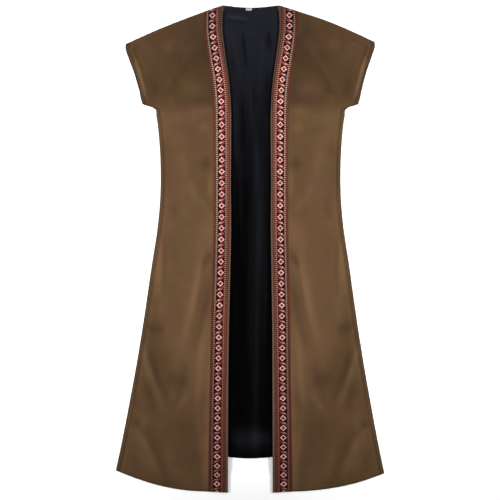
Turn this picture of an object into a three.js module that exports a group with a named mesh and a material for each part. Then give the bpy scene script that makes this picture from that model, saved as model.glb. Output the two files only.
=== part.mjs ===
// A long open-front costume vest, laid flat on its back on a level surface. Two brown fronts, each cut
// in one with its cap sleeve, lie on a black-lined back, and a woven ribbon runs down each front edge.
// X runs across the vest towards the wearer's left, Y from hem to neck, and Z up from the surface.
// The origin is on that surface, under the middle of the whole vest.
import * as THREE from "three";

// Driving dimensions, in millimetres.
const FRONT_LENGTH = 1195; // neck point to the lowest point of the front hem
const BACK_LENGTH = 1107; // neck point level to the back hem, beside the opening
const WAIST = 440; // neck point level to the waist
const BACK_NECK_DIP = 6; // depth of the back neckline
const BACK_HEM_DIP = 3.5; // how far the middle of the back hem hangs below its sides
const BACK_HEM_SAG = 6; // curve of the back hem between the opening and the side seam
const SAG_PLACE = 1.12; // above 1, the panels sag most nearer to their sides
const FRONT_CLOTH = 2; // thickness of a front, with what backs it
const BACK_CLOTH = 1.6;
const LINING_CLOTH = 1.2;
const RIBBON_CLOTH = 1.2;
const GAP = 0.3; // clearance between pieces that touch or are sewn together
const LABEL = { width: 15, height: 5.6, thickness: 1, x: -5.2, down: 10.8 };

const SEAM_ROLL = 8; // width over which a front rolls down to the shoulder, sleeve and side edges
const LINING_INSET = 13; // how far the lining stops short of those edges
const UNDERARM_INSET = 16; // and of the seam under the sleeve
const LINING_HEM_INSET = 1.5; // how far the lining stops above the back hem
const EDGE_LIFT = { height: 3, width: 24 }; // the ribboned edges stand a little off the lining
const HEM_FALL = { start: 20, length: 30 }; // past the back hem the fronts come down to the surface

const ROW_STEP = 36; // greatest distance between two rows of points down the vest
const FRONT_COLUMNS = 9; // columns of cloth between the ribbon and the rolled side edge
const RIBBON_COLUMNS = 3;

// The cut of half the vest, a row for each section from the shoulder to the hem. A section of a front
// runs from the opening edge to the shoulder, sleeve or side edge.
//   down, edge       its inner end: distance below the neck point, and from the centre line
//   sideDown, side   its outer end, likewise
//   sag              how far its middle drops below the straight line between them
//   strip            bare cloth between the opening edge and the ribbon
//   ribbon           width of the ribbon as it lies
const SECTIONS = [
  { down: 0, edge: 67.8, sideDown: 92.5, side: 305, sag: -5.5, strip: 6.5, ribbon: 39 }, // shoulder seam
  { down: 10, edge: 68.3, sideDown: 101, side: 306, sag: -5, strip: 6.5, ribbon: 39 },
  { down: 55, edge: 70, sideDown: 130, side: 297.5, sag: -4, strip: 5.2, ribbon: 38 },
  { down: 115, edge: 63.4, sideDown: 165, side: 285, sag: -2, strip: 4.7, ribbon: 37.5 },
  { down: 180, edge: 54.2, sideDown: 208, side: 273, sag: -1, strip: 4.5, ribbon: 37 },
  { down: 228, edge: 49.8, sideDown: 236, side: 266.5, sag: 0, strip: 4.7, ribbon: 37 }, // sleeve corner
  { down: 240, edge: 49.3, sideDown: 243.5, side: 262.5, sag: 0, strip: 4.8, ribbon: 37 },
  { down: 252, edge: 48.8, sideDown: 252.5, side: 236, sag: 0, strip: 4.8, ribbon: 37 }, // underarm
  { down: 272, edge: 48.5, sideDown: 272, side: 231, sag: 0, strip: 5.1, ribbon: 37 },
  { down: 330, edge: 48.5, sideDown: 330, side: 224, sag: 0, strip: 4.7, ribbon: 37 },
  { down: 440, edge: 49.3, sideDown: 440, side: 220.5, sag: 0, strip: 4.1, ribbon: 36.5 }, // waist
  { down: 540, edge: 48.6, sideDown: 533, side: 226.5, sag: 0, strip: 5.3, ribbon: 36.5 },
  { down: 660, edge: 50.5, sideDown: 644, side: 243, sag: 1.5, strip: 5.2, ribbon: 37 },
  { down: 780, edge: 52.9, sideDown: 756, side: 259, sag: 3.5, strip: 5.5, ribbon: 37.5 },
  { down: 900, edge: 54, sideDown: 867, side: 276.5, sag: 6, strip: 5.8, ribbon: 38 },
  { down: 1020, edge: 54.5, sideDown: 979, side: 296.5, sag: 10, strip: 6.6, ribbon: 39 },
  { down: 1120, edge: 54.6, sideDown: 1072.5, side: 314.2, sag: 13, strip: 7.2, ribbon: 39.5 },
  { down: FRONT_LENGTH, edge: 54.8, sideDown: 1143.8, side: 329, sag: 15.5, strip: 7.6, ribbon: 39.5 }, // hem
];

// The soft ridges of a front, a row for each. A ridge runs in a curve from its first point past the
// second to the third, each given as distance from the centre line and below the neck point.
const FRONT_FOLDS = [
  { from: [104, 590], by: [123, 690], to: [158, 850], width: 18, height: 7 }, // hip, from the ribbon
  { from: [101, 700], by: [106, 860], to: [124, 1030], width: 15, height: 7 }, // beside the ribbon
  { from: [122, 1000], by: [112, 1090], to: [110, 1180], width: 9, height: 3.5 },
  { from: [254, 825], by: [246, 900], to: [194, 1005], width: 13, height: 5 }, // skirt, upper diagonal
  { from: [272, 1030], by: [244, 1080], to: [204, 1182], width: 16, height: 6 }, // skirt, lower one
  { from: [286, 940], by: [288, 990], to: [296, 1060], width: 12, height: 3 }, // skirt side
  { from: [217, 560], by: [213, 640], to: [220, 720], width: 9, height: 2.5 }, // hip side
  { from: [222, 262], by: [160, 270], to: [96, 276], width: 9, height: 3 }, // across the chest
  { from: [160, 300], by: [165, 400], to: [130, 520], width: 34, height: 3.5 }, // swell of the chest
  { from: [281, 135], by: [268, 180], to: [253, 228], width: 8, height: 3 }, // inside the sleeve hem
  { from: [88, 60], by: [150, 120], to: [230, 250], width: 16, height: 2.5 }, // neck to underarm
];

// The ridges of the lining in the opening. Here the first number of a point is X, with its sign.
const LINING_FOLDS = [
  { from: [12, 330], by: [9, 680], to: [5, 990], width: 13, height: 6 }, // long ridge down the back
  { from: [5, 900], by: [3, 1000], to: [2, 1085], width: 20, height: 4 },
  { from: [-50, 50], by: [-26, 140], to: [-2, 240], width: 9, height: 4 }, // fan below the neck
  { from: [26, 50], by: [22, 130], to: [8, 240], width: 9, height: 4 },
  { from: [-10, 60], by: [2, 110], to: [2, 200], width: 7, height: 2.5 },
  { from: [-36, 215], by: [-36, 320], to: [-26, 450], width: 9, height: 3.5 },
  { from: [30, 560], by: [32, 760], to: [30, 960], width: 10, height: 2.5 },
];

const FOLD_STEPS = 24; // straight steps that stand for a ridge's curve when distances are measured

const clamp01 = (value) => THREE.MathUtils.clamp(value, 0, 1);
const bell = (distance, width) => Math.exp(-((distance / width) ** 2));

// Every column of the section table as one smooth function of the distance down the opening edge.
const COLUMN_NAMES = ["edge", "sideDown", "side", "sag", "strip", "ribbon"];
const cut = new THREE.CubicInterpolant(
  SECTIONS.map((row) => row.down),
  SECTIONS.flatMap((row) => COLUMN_NAMES.map((name) => row[name])),
  COLUMN_NAMES.length,
);

function sectionAt(down) {
  const values = cut.evaluate(down);
  const section = { down };
  COLUMN_NAMES.forEach((name, i) => (section[name] = values[i]));
  return section;
}

// Distances down the vest at which its panels have rows: two close ones below the shoulder seam, where
// the cloth rolls over, and then even steps between the sections of the table.
function rowPlaces() {
  const places = [0, SEAM_ROLL / 2];
  SECTIONS.slice(1).forEach((row, i) => {
    const start = Math.max(SECTIONS[i].down, SEAM_ROLL / 2);
    const steps = Math.ceil((row.down - start) / ROW_STEP);
    for (let k = 1; k <= steps; k++) places.push(start + ((row.down - start) * k) / steps);
  });
  return places;
}

// How far below the neck point a front's section lies at distance x from the centre line.
function frontDown(section, x) {
  const u = (x - section.edge) / (section.side - section.edge);
  const straight = THREE.MathUtils.lerp(section.down, section.sideDown, u);
  return straight + section.sag * Math.sin(Math.PI * u ** SAG_PLACE);
}

// The same for the back, whose sections close up below the waist because it is shorter. Its neckline
// and hem dip a little across the opening.
function backDown(section, x) {
  const below = Math.max(0, section.down - WAIST) / (FRONT_LENGTH - WAIST);
  const down = section.down - below * (FRONT_LENGTH - BACK_LENGTH);
  const away = Math.abs(x);
  if (away > section.edge) {
    const u = (away - section.edge) / (section.side - section.edge);
    const sag = section.down > WAIST ? BACK_HEM_SAG * below : section.sag;
    const straight = THREE.MathUtils.lerp(down, section.sideDown, u);
    return straight + sag * Math.sin(Math.PI * u ** SAG_PLACE);
  }
  const neck = BACK_NECK_DIP * (1 - clamp01(section.down / SECTIONS[4].down));
  return down + (neck + BACK_HEM_DIP * below) * Math.cos((Math.PI * x) / (2 * section.edge));
}

const HEM_SECTION = sectionAt(FRONT_LENGTH);

// 1 where a front lies on the back, falling to 0 past the back hem, where it lies on the surface.
function onBack(x, down) {
  const past = down - backDown(HEM_SECTION, Math.min(x, HEM_SECTION.side)) - HEM_FALL.start;
  return 1 - THREE.MathUtils.smoothstep(past, 0, HEM_FALL.length);
}

// A ridge's curve as a list of points, and the height that a list of ridges gives at one place: each
// is a bell across its curve that fades towards the curve's two ends.
const asVector = ([x, down]) => new THREE.Vector2(x, down);

function ridges(folds) {
  return folds.map((fold) => ({
    ...fold,
    path: new THREE.QuadraticBezierCurve(
      asVector(fold.from),
      asVector(fold.by),
      asVector(fold.to),
    ).getPoints(FOLD_STEPS),
  }));
}

function ridgeHeight(list, x, down) {
  const place = new THREE.Vector2(x, down);
  let height = 0;
  for (const { path, width, height: crest } of list) {
    const distances = path.map((point) => point.distanceTo(place));
    const nearest = distances.indexOf(Math.min(...distances));
    const fade = Math.sin((Math.PI * (nearest + 0.5)) / path.length) ** 0.7;
    height += crest * fade * bell(distances[nearest], width);
  }
  return height;
}

const frontRidges = ridges(FRONT_FOLDS);
const liningRidges = ridges(LINING_FOLDS);

// Height of a front's underside. It rolls down to the back at the shoulder, sleeve and side edges.
function frontLow(section, x) {
  const down = frontDown(section, x);
  const rollAtSide = 1 - THREE.MathUtils.smoothstep(section.side - x, 0, SEAM_ROLL);
  const rollAtShoulder = 1 - THREE.MathUtils.smoothstep(section.down, 0, SEAM_ROLL);
  const flat = 1 - Math.max(rollAtSide, rollAtShoulder);
  const backed = onBack(x, down);
  const lift = EDGE_LIFT.height * bell(x - section.edge, EDGE_LIFT.width);
  const loft = backed * (LINING_CLOTH + GAP) + lift + ridgeHeight(frontRidges, x, down);
  return backed * (BACK_CLOTH + GAP) + flat * loft;
}

// Distances from the centre line at which a front's section has points: its bare edge, the ribbon's
// columns, the open cloth, and two close columns where it rolls down at the side.
function frontColumns(section) {
  const inner = section.edge + section.strip;
  const outer = inner + section.ribbon;
  const roll = section.side - SEAM_ROLL - 2;
  const columns = [section.edge];
  for (let k = 0; k <= RIBBON_COLUMNS; k++)
    columns.push(THREE.MathUtils.lerp(inner, outer, k / RIBBON_COLUMNS));
  for (let k = 1; k <= FRONT_COLUMNS; k++)
    columns.push(THREE.MathUtils.lerp(outer, roll, k / FRONT_COLUMNS));
  columns.push(section.side - SEAM_ROLL / 2, section.side);
  return columns;
}

// The X and Y of a place, since the vest does not lie quite straight. Its middle lies a little to the
// wearer's left, more so at the top. The left shoulder lies higher than the right one, and the left
// corner of the hem lower.
const HALF_WIDTH = SECTIONS.at(-1).side;
const LEAN = { top: 2.2, hem: 0.6 };
const SHOULDER_TILT = 2.6;
const HEM_TILT = 3.4;

function laidAskew({ x, down }) {
  const { lerp, smoothstep } = THREE.MathUtils;
  const away = Math.abs(x);
  const lean = lerp(LEAN.top, LEAN.hem, smoothstep(down, 560, 1000));
  const shoulder = smoothstep(away, 66, 210) * (1 - smoothstep(down, 100, 235));
  const corner = smoothstep(away, 150, HALF_WIDTH) * smoothstep(down, 850, 1150);
  const tilt = Math.sign(x) * (SHOULDER_TILT * shoulder - HEM_TILT * corner);
  return [x + lean * (1 - (x / HALF_WIDTH) ** 2), FRONT_LENGTH / 2 - down + tilt];
}

// A closed wall from a grid of places, each { x, down, low, high }: its top at the high points, its
// underside at the low ones, and a strip all round. turned says that X runs against the columns.
function wallGeometry(grid, turned) {
  const rows = grid.length;
  const columns = grid[0].length;
  const positions = [];
  for (const level of ["high", "low"])
    for (const row of grid)
      for (const place of row)
        positions.push(...laidAskew(place), place[level]);
  const top = (i, j) => i * columns + j;
  const under = (i, j) => rows * columns + top(i, j);
  const faces = [];
  const quad = (a, b, c, d) => faces.push([a, b, c], [a, c, d]);
  for (let i = 0; i + 1 < rows; i++)
    for (let j = 0; j + 1 < columns; j++) {
      quad(top(i, j), top(i + 1, j), top(i + 1, j + 1), top(i, j + 1));
      quad(under(i, j), under(i, j + 1), under(i + 1, j + 1), under(i + 1, j));
    }
  for (let i = 0; i + 1 < rows; i++) {
    quad(under(i, 0), under(i + 1, 0), top(i + 1, 0), top(i, 0));
    const last = columns - 1;
    quad(top(i, last), top(i + 1, last), under(i + 1, last), under(i, last));
  }
  for (let j = 0; j + 1 < columns; j++) {
    quad(top(0, j), top(0, j + 1), under(0, j + 1), under(0, j));
    const last = rows - 1;
    quad(under(last, j), under(last, j + 1), top(last, j + 1), top(last, j));
  }
  const geometry = new THREE.BufferGeometry();
  geometry.setAttribute("position", new THREE.Float32BufferAttribute(positions, 3));
  geometry.setIndex(faces.flatMap(([a, b, c]) => (turned ? [a, c, b] : [a, b, c])));
  geometry.computeVertexNormals();
  return geometry;
}

// One front, on the wearer's left for hand 1 and right for hand -1.
function frontGeometry(hand) {
  const grid = rowPlaces().map((down) => {
    const section = sectionAt(down);
    return frontColumns(section).map((x) => {
      const low = frontLow(section, x);
      return { x: hand * x, down: frontDown(section, x), low, high: low + FRONT_CLOTH };
    });
  });
  return wallGeometry(grid, hand < 0);
}

// The ribbon lies on its front, so it is made from the front's own points, moved up.
function ribbonGeometry(hand) {
  const grid = rowPlaces().map((down) => {
    const section = sectionAt(down);
    const columns = frontColumns(section).slice(1, RIBBON_COLUMNS + 2);
    return columns.map((x) => {
      const low = frontLow(section, x) + FRONT_CLOTH + GAP;
      return { x: hand * x, down: frontDown(section, x), low, high: low + RIBBON_CLOTH };
    });
  });
  return wallGeometry(grid, hand < 0);
}

// The back shell lies flat on the surface, all over.
function backGeometry() {
  const grid = rowPlaces().map((down) => {
    const section = sectionAt(down);
    const { edge, side } = section;
    const half = [edge / 3, edge, (edge + side) / 2, side];
    const columns = [...half.map((x) => -x).reverse(), ...half];
    return columns.map((x) => ({ x, down: backDown(section, x), low: 0, high: BACK_CLOTH }));
  });
  return wallGeometry(grid, false);
}

// The lining lies on the back shell, short of its seams and hem. In the opening it reaches the neck
// edge and has the ridges of its table.
const OPENING_COLUMNS = [-45, -36, -26, -16, -7, 2, 10, 18, 26, 36, 45];
const NECK_TURN = 64; // distance from the centre at which its top edge turns down under the shoulder

function liningGeometry() {
  const low = BACK_CLOTH + GAP;
  const grid = rowPlaces().map((down) => {
    const section = sectionAt(down);
    const narrowest = Math.min(section.side, sectionAt(down + UNDERARM_INSET).side);
    const end = (down < WAIST ? narrowest : section.side) - LINING_INSET;
    const half = [NECK_TURN - 4, NECK_TURN, (NECK_TURN + end) / 2, end];
    const columns = [...half.map((x) => -x).reverse(), ...OPENING_COLUMNS, ...half];
    const along = section.down / FRONT_LENGTH;
    return columns.map((x) => {
      const topInset = Math.abs(x) < NECK_TURN ? GAP : LINING_INSET;
      const inset = topInset * (1 - along) - LINING_HEM_INSET * along;
      const lineDown = backDown(section, x) + inset;
      const open = 1 - THREE.MathUtils.smoothstep(Math.abs(x), section.edge - 8, section.edge + 4);
      const raised = low + open * ridgeHeight(liningRidges, x, lineDown);
      return { x, down: lineDown, low: raised, high: raised + LINING_CLOTH };
    });
  });
  return wallGeometry(grid, false);
}

// The label is a short tape on the flat of the lining, just below the neck edge.
function labelGeometry() {
  const low = BACK_CLOTH + LINING_CLOTH + 2 * GAP;
  const grid = [-1, 1].map((row) =>
    [-1, 1].map((column) => ({
      x: LABEL.x + (column * LABEL.width) / 2,
      down: LABEL.down + (row * LABEL.height) / 2,
      low,
      high: low + LABEL.thickness,
    })),
  );
  return wallGeometry(grid, false);
}

const SUEDE = { color: 0x5f4830, roughness: 0.55, metalness: 0 };
const SATIN = { color: 0x0d0d10, roughness: 0.4, metalness: 0 };
const WOVEN = { color: 0x5a2a26, roughness: 0.7, metalness: 0 };
const TAPE = { color: 0xe9e7e0, roughness: 0.6, metalness: 0 };

const vest = new THREE.Group();

function addPiece(name, geometry, finish) {
  const piece = new THREE.Mesh(geometry, new THREE.MeshStandardMaterial(finish));
  piece.name = name;
  vest.add(piece);
}

addPiece("back_shell", backGeometry(), SUEDE);
addPiece("back_lining", liningGeometry(), SATIN);
addPiece("neck_label", labelGeometry(), TAPE);
for (const [side, hand] of [["left", 1], ["right", -1]]) {
  addPiece(`front_${side}`, frontGeometry(hand), SUEDE);
  addPiece(`ribbon_${side}`, ribbonGeometry(hand), WOVEN);
}

export default vest;
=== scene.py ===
"""A long open-front costume vest, laid flat on its back. Two brown fronts, each cut in one with its cap
sleeve, lie on a back lined with black satin, and a woven ribbon runs down each front edge.

Sizes are millimetres, and a piece's mesh turns them into metres. X runs to the wearer's left, Y from hem
to neck and Z up from the surface. A place on the cloth is given as x and as down, its distance below the
neck point.
"""

import bpy
import numpy as np
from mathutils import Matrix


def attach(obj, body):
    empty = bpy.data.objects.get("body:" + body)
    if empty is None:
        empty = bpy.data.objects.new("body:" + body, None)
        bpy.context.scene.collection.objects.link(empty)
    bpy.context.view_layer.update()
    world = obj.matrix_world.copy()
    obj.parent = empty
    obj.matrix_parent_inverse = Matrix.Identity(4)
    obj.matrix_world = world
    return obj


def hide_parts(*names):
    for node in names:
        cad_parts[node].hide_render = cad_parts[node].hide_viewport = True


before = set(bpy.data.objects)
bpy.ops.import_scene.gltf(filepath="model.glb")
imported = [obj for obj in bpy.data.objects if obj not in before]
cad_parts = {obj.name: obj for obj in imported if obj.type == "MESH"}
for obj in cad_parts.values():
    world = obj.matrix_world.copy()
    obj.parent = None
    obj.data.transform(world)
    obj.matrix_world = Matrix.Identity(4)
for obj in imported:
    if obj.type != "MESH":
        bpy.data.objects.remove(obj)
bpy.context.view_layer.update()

METRES = 0.001
FRONT_LENGTH = 1195


# --- Camera -------------------------------
# It hangs over the middle of the vest and looks straight down on it, from far enough off that the cloth
# shows square, with little perspective.

SEEN_WIDTH = 1.225  # metres of the cloth's level that the picture takes in
LENS, SENSOR = 100, 36
AIM = (-0.0002, -0.0026, 0.004)  # what it points at, on the cloth's level

camera_data = bpy.data.cameras.new("camera")
camera_data.lens = LENS
camera_data.sensor_width = SENSOR
camera = bpy.data.objects.new("camera", camera_data)
camera.location = (*AIM[:2], SEEN_WIDTH * LENS / SENSOR + AIM[2])
bpy.context.collection.objects.link(camera)
bpy.context.scene.camera = camera


# --- Table and light ----------------------
# A wide pale table carries the vest. Two soft lamps stand at its sides, level with the chest and each
# turned to its own half, so that the cloth grows darker towards the hem. The room is evenly bright.

bpy.context.scene.view_settings.view_transform = "Standard"

TABLE_REACH = 7.0  # each way from the vest's middle
TABLE_LEVEL = -0.0004  # just clear of the vest
TABLE_WHITE = (0.985, 0.985, 0.985, 1)

table = bpy.data.meshes.new("table")
signs = ((-1, -1), (1, -1), (1, 1), (-1, 1))
table_corners = [(x * TABLE_REACH, y * TABLE_REACH, TABLE_LEVEL) for x, y in signs]
table.from_pydata(table_corners, [], [(0, 1, 2, 3)])
table_top = bpy.data.objects.new("table", table)
bpy.context.collection.objects.link(table_top)

paint = bpy.data.materials.new("pale_table")
paint.use_nodes = True
table_paint = paint.node_tree.nodes["Principled BSDF"]
table_paint.inputs["Base Color"].default_value = TABLE_WHITE
table_paint.inputs["Roughness"].default_value = 0.9
table_paint.inputs["Specular IOR Level"].default_value = 0.1
table.materials.append(paint)

LAMP_PLACE = (1.1, 0.2, 0.75)  # of the right one, and the left one mirrors it
LAMP_TARGET = 0.42  # its beam meets the cloth this far from the middle line
LAMP_SIZE = (0.3, 1.5)
LAMP_SPREAD = np.radians(50)
LAMP_WATTS = 5.5

for name, hand in (("lamp_left", -1), ("lamp_right", 1)):
    lamp_data = bpy.data.lights.new(name, "AREA")
    lamp_data.shape = "RECTANGLE"
    lamp_data.size, lamp_data.size_y = LAMP_SIZE
    lamp_data.spread = LAMP_SPREAD
    lamp_data.energy = LAMP_WATTS
    lamp = bpy.data.objects.new(name, lamp_data)
    lamp.location = (hand * LAMP_PLACE[0], *LAMP_PLACE[1:])
    lamp.rotation_euler = (0, hand * np.arctan2(LAMP_PLACE[0] - LAMP_TARGET, LAMP_PLACE[2]), 0)
    bpy.context.collection.objects.link(lamp)

room = bpy.data.worlds.new("room")
room.use_nodes = True
air = room.node_tree.nodes["Background"]
air.inputs["Color"].default_value = (1, 1, 1, 1)
air.inputs["Strength"].default_value = 0.5
bpy.context.scene.world = room


# --- Back ---------------------------------
# The back is one panel of brown suede cloth, cut in one with the backs of the cap sleeves. It lies flat
# on the table under everything else, and its hem ends some way above the hems of the fronts.

BACK_LENGTH = 1107
WAIST = 440
HALF_WIDTH = 329  # centre line to a corner of the hem
SAG_PLACE = 1.12  # above 1, the panels sag most nearer to their sides
BACK_NECK_DIP = 6  # depth of the back neckline
NECK_DIP_REACH = 180  # the sections dip less and less, down to here
BACK_HEM_DIP = 3.5  # how far the middle of the back hem hangs below its sides
BACK_HEM_SAG = 6
BACK_CLOTH = 1.6
GAP = 0.3  # clearance between pieces that touch or are sewn together

# Half the vest, a row for each section from shoulder to hem. edge and down are where it meets the
# opening, side and side_down where it meets the side, sag is its drop between them, strip the bare cloth
# inside the ribbon, ribbon the ribbon's width, and repeat the length of its pattern as eased on there.
COLUMNS = [(name, float) for name in "down edge side_down side sag strip ribbon repeat".split()]
CUT = np.array([
    (0, 67.8, 92.5, 305, -5.5, 6.5, 39, 26.5),  # shoulder seam
    (10, 68.3, 101, 306, -5, 6.5, 39, 26.5),
    (55, 70, 130, 297.5, -4, 5.2, 38, 26.6),
    (115, 63.4, 165, 285, -2, 4.7, 37.5, 26.2),
    (180, 54.2, 208, 273, -1, 4.5, 37, 25.9),
    (228, 49.8, 236, 266.5, 0, 4.7, 37, 27.4),  # sleeve corner
    (240, 49.3, 243.5, 262.5, 0, 4.8, 37, 27.8),
    (252, 48.8, 252.5, 236, 0, 4.8, 37, 28.2),  # underarm
    (272, 48.5, 272, 231, 0, 5.1, 37, 28.8),
    (330, 48.5, 330, 224, 0, 4.7, 37, 29.0),
    (440, 49.3, 440, 220.5, 0, 4.1, 36.5, 27.7),  # waist
    (540, 48.6, 533, 226.5, 0, 5.3, 36.5, 27.6),
    (660, 50.5, 644, 243, 1.5, 5.2, 37, 26.8),
    (780, 52.9, 756, 259, 3.5, 5.5, 37.5, 26.2),
    (900, 54, 867, 276.5, 6, 5.8, 38, 24.6),
    (1020, 54.5, 979, 296.5, 10, 6.6, 39, 24.0),
    (1120, 54.6, 1072.5, 314.2, 13, 7.2, 39.5, 22.8),
    (1195, 54.8, 1143.8, HALF_WIDTH, 15.5, 7.6, 39.5, 21.8),  # hem
], COLUMNS)


def cut(name, down):
    """A column of CUT at any distance down the edge: cubics through its rows, and the slope at a row is
    the mean of those of the two straight lines that meet there."""
    at, value = CUT["down"], CUT[name]
    straight = np.diff(value) / np.diff(at)
    slope = np.concatenate([straight[:1], (straight[1:] + straight[:-1]) / 2, straight[-1:]])
    i = np.clip(np.searchsorted(at, down, "right") - 1, 0, len(at) - 2)
    step = at[i + 1] - at[i]
    t = (down - at[i]) / step
    start = (1 + 2 * t) * (1 - t) ** 2 * value[i] + t * (1 - t) ** 2 * step * slope[i]
    end = t * t * (3 - 2 * t) * value[i + 1] - t * t * (1 - t) * step * slope[i + 1]
    return start + end


def rise(value, start, end):
    """0 before start, 1 past end, and between them 3t² - 2t³ of the share t of the way. A start that is
    above the end makes it fall."""
    t = np.clip((value - start) / (end - start), 0, 1)
    return t * t * (3 - 2 * t)


def bell(distance, width):
    """exp(-(distance / width)²)."""
    return np.exp(-((distance / width) ** 2))


def back_down(down, x):
    """Where the back's section that starts at down lies at x. Below the waist the sections close up,
    in even share, to end at the shorter back's hem, and across the opening they dip by a cosine."""
    below = np.maximum(0, down - WAIST) / (FRONT_LENGTH - WAIST)
    start = down - below * (FRONT_LENGTH - BACK_LENGTH)
    edge, side = cut("edge", down), cut("side", down)
    away = np.abs(x)
    u = np.clip((away - edge) / (side - edge), 0, 1)
    sag = np.where(down > WAIST, BACK_HEM_SAG * below, cut("sag", down))
    panel = start + (cut("side_down", down) - start) * u + sag * np.sin(np.pi * u**SAG_PLACE)
    neck = BACK_NECK_DIP * (1 - np.clip(down / NECK_DIP_REACH, 0, 1))
    opening = start + (neck + BACK_HEM_DIP * below) * np.cos(np.pi * x / (2 * edge))
    return np.where(away > edge, panel, opening)


LATTICE_POINTS = (160, 160)
LATTICE_ORIGIN = (80.3, 3.7)  # the neck point's place on it, across and along


def unevenness(x, down, size, seed):
    """Smooth noise from -1 to 1: random numbers on a lattice of this size, blended between its points by
    3t² - 2t³ along both axes."""
    lattice = np.random.default_rng(seed).uniform(-1, 1, LATTICE_POINTS)
    across, along = x / size + LATTICE_ORIGIN[0], down / size + LATTICE_ORIGIN[1]
    i, j = np.floor(along).astype(int), np.floor(across).astype(int)
    s, t = rise(along - i, 0, 1), rise(across - j, 0, 1)
    upper = lattice[i, j] * (1 - t) + lattice[i, j + 1] * t
    lower = lattice[i + 1, j] * (1 - t) + lattice[i + 1, j + 1] * t
    return upper * (1 - s) + lower * s


def spread(steps, *stops):
    """Numbers from the first stop to the last, with about this many millimetres between them."""
    spans = zip(stops, stops[1:])
    parts = [np.linspace(a, b, max(2, round(abs(b - a) / steps) + 1))[:-1] for a, b in spans]
    return np.concatenate([*parts, stops[-1:]])


RIM = np.array([0, 0.1, 0.35, 0.9])  # close steps over which a cut edge rounds off
RIM_HALF = 0.06  # half the thickness that is left at the very edge


def rows_down(step):
    """Rows from the neck point to the front hem, about a step apart, with close ones at both rims."""
    return np.concatenate([RIM, spread(step, 2, FRONT_LENGTH - 2), FRONT_LENGTH - RIM[::-1]])[:, None]


LEAN = (2.2, 0.6)  # how far the middle lies to the wearer's left, at the top and at the hem
LEAN_CHANGE = (560, 1000)  # it changes between these distances down
SHOULDER_TILT = 2.6  # by which the left shoulder lies higher and the right one lower
SHOULDER_OUT, SHOULDER_END = (66, 210), (100, 235)  # it sets in outwards, and fades downwards
HEM_TILT = 3.4  # by which the left corner of the hem lies lower and the right one higher
CORNER_OUT, CORNER_DOWN = (150, HALF_WIDTH), (850, 1150)  # it sets in outwards and downwards


def laid_askew(x, down):
    """The X and Y of a place on the cloth, since the vest does not lie quite straight. The lean goes as
    1 - (x / HALF_WIDTH)² across the vest."""
    away = np.abs(x)
    lean = LEAN[0] + (LEAN[1] - LEAN[0]) * rise(down, *LEAN_CHANGE)
    shoulder = rise(away, *SHOULDER_OUT) * (1 - rise(down, *SHOULDER_END))
    corner = rise(away, *CORNER_OUT) * rise(down, *CORNER_DOWN)
    tilt = np.sign(x) * (SHOULDER_TILT * shoulder - HEM_TILT * corner)
    return x + lean * (1 - (x / HALF_WIDTH) ** 2), FRONT_LENGTH / 2 - down + tilt


def make_piece(name, points, faces, material, weave=None, light=None):
    """A mesh of points in millimetres below the neck point, as (x, down, z). weave gives each point's
    place in the cloth's own weave, for a UV map of that name, and light how much painted light makes it look
    lighter there, or painted shade darker where below 0."""
    mesh = bpy.data.meshes.new(name)
    x, down, z = points
    place = np.stack([*laid_askew(x, down), z], axis=-1).reshape(-1, 3) * METRES
    mesh.vertices.add(len(place))
    mesh.vertices.foreach_set("co", place.ravel())
    corners = faces.shape[1]
    mesh.loops.add(faces.size)
    mesh.loops.foreach_set("vertex_index", faces.ravel().astype(np.int32))
    mesh.polygons.add(len(faces))
    mesh.polygons.foreach_set("loop_start", np.arange(0, faces.size, corners, dtype=np.int32))
    mesh.update(calc_edges=True)
    mesh.shade_smooth()
    if weave is not None:
        uv = mesh.uv_layers.new(name="weave")
        uv.data.foreach_set("uv", (np.asarray(weave) * METRES)[faces.ravel()].ravel())
    if light is not None:
        mesh.attributes.new("light", "FLOAT", "POINT").data.foreach_set("value", light)
    mesh.materials.append(material)
    piece = bpy.data.objects.new(name, mesh)
    bpy.context.collection.objects.link(piece)
    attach(piece, "root")
    return piece


def wall(name, x, down, low, thickness, rim, material, weave=None, light=None):
    """A closed wall of cloth on a grid of places: a sheet at its underside, low, one a thickness above,
    and a strip round both. Within half a thickness of the rim, which is each place's distance from the
    cut edge, the two sheets close on the middle by a quarter ellipse, so the edge is round."""
    if x[0, 0] > x[0, -1]:
        x, down, low, rim = (a[:, ::-1] for a in (x, down, low, rim))
        weave = None if weave is None else [a[:, ::-1] for a in weave]
        light = None if light is None else light[:, ::-1]
    middle = low + thickness / 2
    inwards = np.clip(rim / (thickness / 2), 0, 1)
    half = np.maximum(thickness / 2 * np.sqrt(1 - (1 - inwards) ** 2), RIM_HALF)
    rows, columns = x.shape
    top = np.arange(rows * columns).reshape(rows, columns)
    under = top + top.size
    ring_top = np.concatenate([top[:-1, 0], top[-1, :-1], top[:0:-1, -1], top[0, :0:-1]])
    ahead = np.roll(ring_top, -1)
    quads = [
        np.stack([top[:-1, :-1], top[1:, :-1], top[1:, 1:], top[:-1, 1:]], -1),
        np.stack([under[:-1, :-1], under[:-1, 1:], under[1:, 1:], under[1:, :-1]], -1),
        np.stack([ring_top + top.size, ahead + top.size, ahead, ring_top], -1),
    ]
    faces = np.concatenate([q.reshape(-1, 4) for q in quads])
    both = ((x, x), (down, down), (middle + half, middle - half))
    points = [np.concatenate([upper.ravel(), lower.ravel()]) for upper, lower in both]
    if weave is not None:
        weave = np.tile(np.stack([a.ravel() for a in weave], -1), (2, 1))
    if light is not None:
        light = np.tile(light.ravel(), 2)
    return make_piece(name, points, faces, material, weave, light)


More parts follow.
